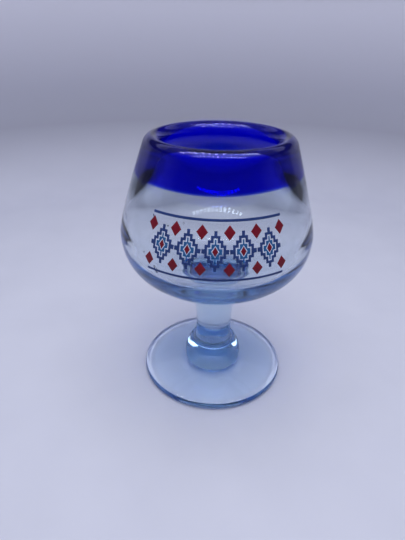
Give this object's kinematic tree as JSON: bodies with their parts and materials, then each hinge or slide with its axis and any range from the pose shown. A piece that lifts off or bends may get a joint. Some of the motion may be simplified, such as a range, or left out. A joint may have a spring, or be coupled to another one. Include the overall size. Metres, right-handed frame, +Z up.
{
  "type": "tequila glass",
  "caption": "Hand-blown stemmed drinking glass: round clear bowl with a heavy cobalt-blue lip and an enamel frieze, on a short stem, a ball knop and a flat disc foot.",
  "frame": {"origin": "middle of the plane that the foot rests on", "axes": "+Z up along the glass's axis of revolution, -Y towards the middle of the printed frieze"},
  "size_m": [0.0731, 0.0731, 0.102],
  "materials": {
    "clear_glass": "fire-polished clear glass with a pale blue cast and a few seeds",
    "cobalt_glass": "fire-polished cobalt-blue glass",
    "navy_enamel": "fired glass enamel, satin",
    "teal_enamel": "fired glass enamel, satin",
    "red_enamel": "fired glass enamel, satin"
  },
  "bodies": {
    "root": {"bowl": "clear_glass", "rim_band": "cobalt_glass", "stem": "clear_glass", "knop": "clear_glass", "foot": "clear_glass", "print_navy": "navy_enamel", "print_teal": "teal_enamel", "print_red": "red_enamel"}
  },
  "joints": []
}
